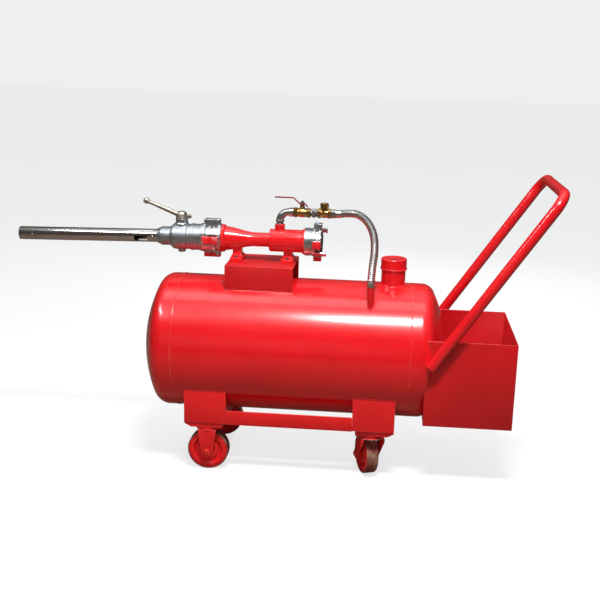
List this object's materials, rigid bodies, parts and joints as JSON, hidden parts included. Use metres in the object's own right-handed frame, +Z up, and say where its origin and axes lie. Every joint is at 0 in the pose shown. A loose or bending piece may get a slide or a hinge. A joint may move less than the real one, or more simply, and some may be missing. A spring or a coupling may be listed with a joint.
{
  "type": "wheeled foam fire extinguisher",
  "caption": "Horizontal foam tank on a caster trolley, with an in-line eductor, hand foam tube, suction line, tool bin and push handle",
  "frame": {"origin": "on the floor, under the middle of the bounding box", "axes": "+X points from the foam tube's muzzle to the push handle, +Y to the right side, +Z up"},
  "size_m": [1.9843, 0.531, 1.0988],
  "materials": {
    "gloss_red_paint": "glossy red enamel",
    "frame_red_paint": "satin dark red enamel on welded sheet",
    "cast_aluminium": "cast and machined aluminium",
    "zinc_steel": "galvanised or zinc-plated steel",
    "brass": "machined brass",
    "stainless_steel": "polished stainless steel",
    "black_rubber": "matt black seal rubber",
    "tyre_rubber": "worn red-brown wheel tread"
  },
  "bodies": {
    "root": {"tank_shell": "gloss_red_paint", "tank_head_rear": "gloss_red_paint", "tank_head_front": "gloss_red_paint", "filler_neck": "gloss_red_paint", "suction_socket": "gloss_red_paint", "dip_tube": "zinc_steel", "saddle_bracket": "frame_red_paint", "ejector_body": "gloss_red_paint", "ejector_foot_front": "frame_red_paint", "ejector_foot_rear": "frame_red_paint", "ejector_jet": "brass", "inlet_coupling": "cast_aluminium", "inlet_seal": "black_rubber", "outlet_coupling": "cast_aluminium", "outlet_seal": "black_rubber", "suction_nipple": "zinc_steel", "suction_elbow": "zinc_steel", "suction_valve_body": "brass", "link_nipple": "zinc_steel", "check_valve_body": "brass", "check_valve_cap": "brass", "hose_nut": "zinc_steel", "suction_hose": "stainless_steel", "bracket_front": "frame_red_paint", "bracket_rear": "frame_red_paint", "rail_left": "frame_red_paint", "rail_right": "frame_red_paint", "front_left_fork": "frame_red_paint", "front_left_axle": "zinc_steel", "rear_left_plate": "frame_red_paint", "front_right_fork": "frame_red_paint", "front_right_axle": "zinc_steel", "rear_right_plate": "frame_red_paint", "tool_bin": "frame_red_paint", "push_handle": "gloss_red_paint"},
    "gun": {"gun_coupling": "cast_aluminium", "gun_seal": "black_rubber", "gun_adaptor": "cast_aluminium", "gun_valve_body": "cast_aluminium", "gun_collar": "cast_aluminium", "gun_tube": "stainless_steel", "gun_jet": "brass"},
    "gun_handle": {"gun_valve_handle": "cast_aluminium", "gun_valve_ball": "stainless_steel", "gun_valve_screw": "zinc_steel"},
    "suction_lever": {"suction_valve_lever": "zinc_steel", "suction_valve_nut": "zinc_steel", "suction_valve_ball": "stainless_steel"},
    "flap": {"check_valve_flap": "brass"},
    "cap_seal": {"filler_gasket": "black_rubber"},
    "cap": {"filler_cap": "gloss_red_paint"},
    "front_left_wheel_body": {"front_left_wheel": "tyre_rubber"},
    "front_right_wheel_body": {"front_right_wheel": "tyre_rubber"},
    "rear_left_caster": {"rear_left_fork": "frame_red_paint", "rear_left_axle": "zinc_steel"},
    "rear_left_wheel_body": {"rear_left_wheel": "tyre_rubber"},
    "rear_right_caster": {"rear_right_fork": "frame_red_paint", "rear_right_axle": "zinc_steel"},
    "rear_right_wheel_body": {"rear_right_wheel": "tyre_rubber"}
  },
  "joints": [
    {"name": "gun_twist", "type": "hinge", "parent": "root", "child": "gun", "pos_m": [-0.29839, 0, 0.8405], "axis": [1, 0, 0], "range_deg": [0, 22]},
    {"name": "gun_valve", "type": "hinge", "parent": "gun", "child": "gun_handle", "pos_m": [-0.37749, 0, 0.8405], "axis": [0, 0, 1], "range_deg": [0, 90]},
    {"name": "suction_valve", "type": "hinge", "parent": "root", "child": "suction_lever", "pos_m": [0.06867, 0, 0.9478], "axis": [0, 0, 1], "range_deg": [0, 90]},
    {"name": "check_flap", "type": "hinge", "parent": "root", "child": "flap", "pos_m": [0.15639, 0, 0.9575], "axis": [0, 1, 0], "range_deg": [0, 60]},
    {"name": "cap_lift", "type": "slide", "parent": "root", "child": "cap_seal", "axis": [0, 0, 1], "range_m": [0, 0.0091]},
    {"name": "cap_turn", "type": "hinge", "parent": "cap_seal", "child": "cap", "pos_m": [0.41221, 0, 0.786], "axis": [0, 0, 1], "range_deg": [0, 1080]},
    {"name": "front_left_wheel_spin", "type": "hinge", "parent": "root", "child": "front_left_wheel_body", "pos_m": [-0.24429, -0.167, 0.076], "axis": [0, 1, 0], "continuous": true},
    {"name": "rear_left_swivel", "type": "hinge", "parent": "root", "child": "rear_left_caster", "pos_m": [0.35772, -0.167, 0.1625], "axis": [0, 0, 1], "continuous": true},
    {"name": "rear_left_wheel_spin", "type": "hinge", "parent": "rear_left_caster", "child": "rear_left_wheel_body", "pos_m": [0.34403, -0.12941, 0.076], "axis": [-0.9397, -0.342, 0], "continuous": true},
    {"name": "front_right_wheel_spin", "type": "hinge", "parent": "root", "child": "front_right_wheel_body", "pos_m": [-0.24429, 0.167, 0.076], "axis": [0, 1, 0], "continuous": true},
    {"name": "rear_right_swivel", "type": "hinge", "parent": "root", "child": "rear_right_caster", "pos_m": [0.35772, 0.167, 0.1625], "axis": [0, 0, 1], "continuous": true},
    {"name": "rear_right_wheel_spin", "type": "hinge", "parent": "rear_right_caster", "child": "rear_right_wheel_body", "pos_m": [0.34403, 0.12941, 0.076], "axis": [0.9397, -0.342, 0], "continuous": true}
  ],
  "couplings": [
    {"joint": "cap_lift", "follows": "cap_turn", "m_per_rad": 0.00047746}
  ]
}
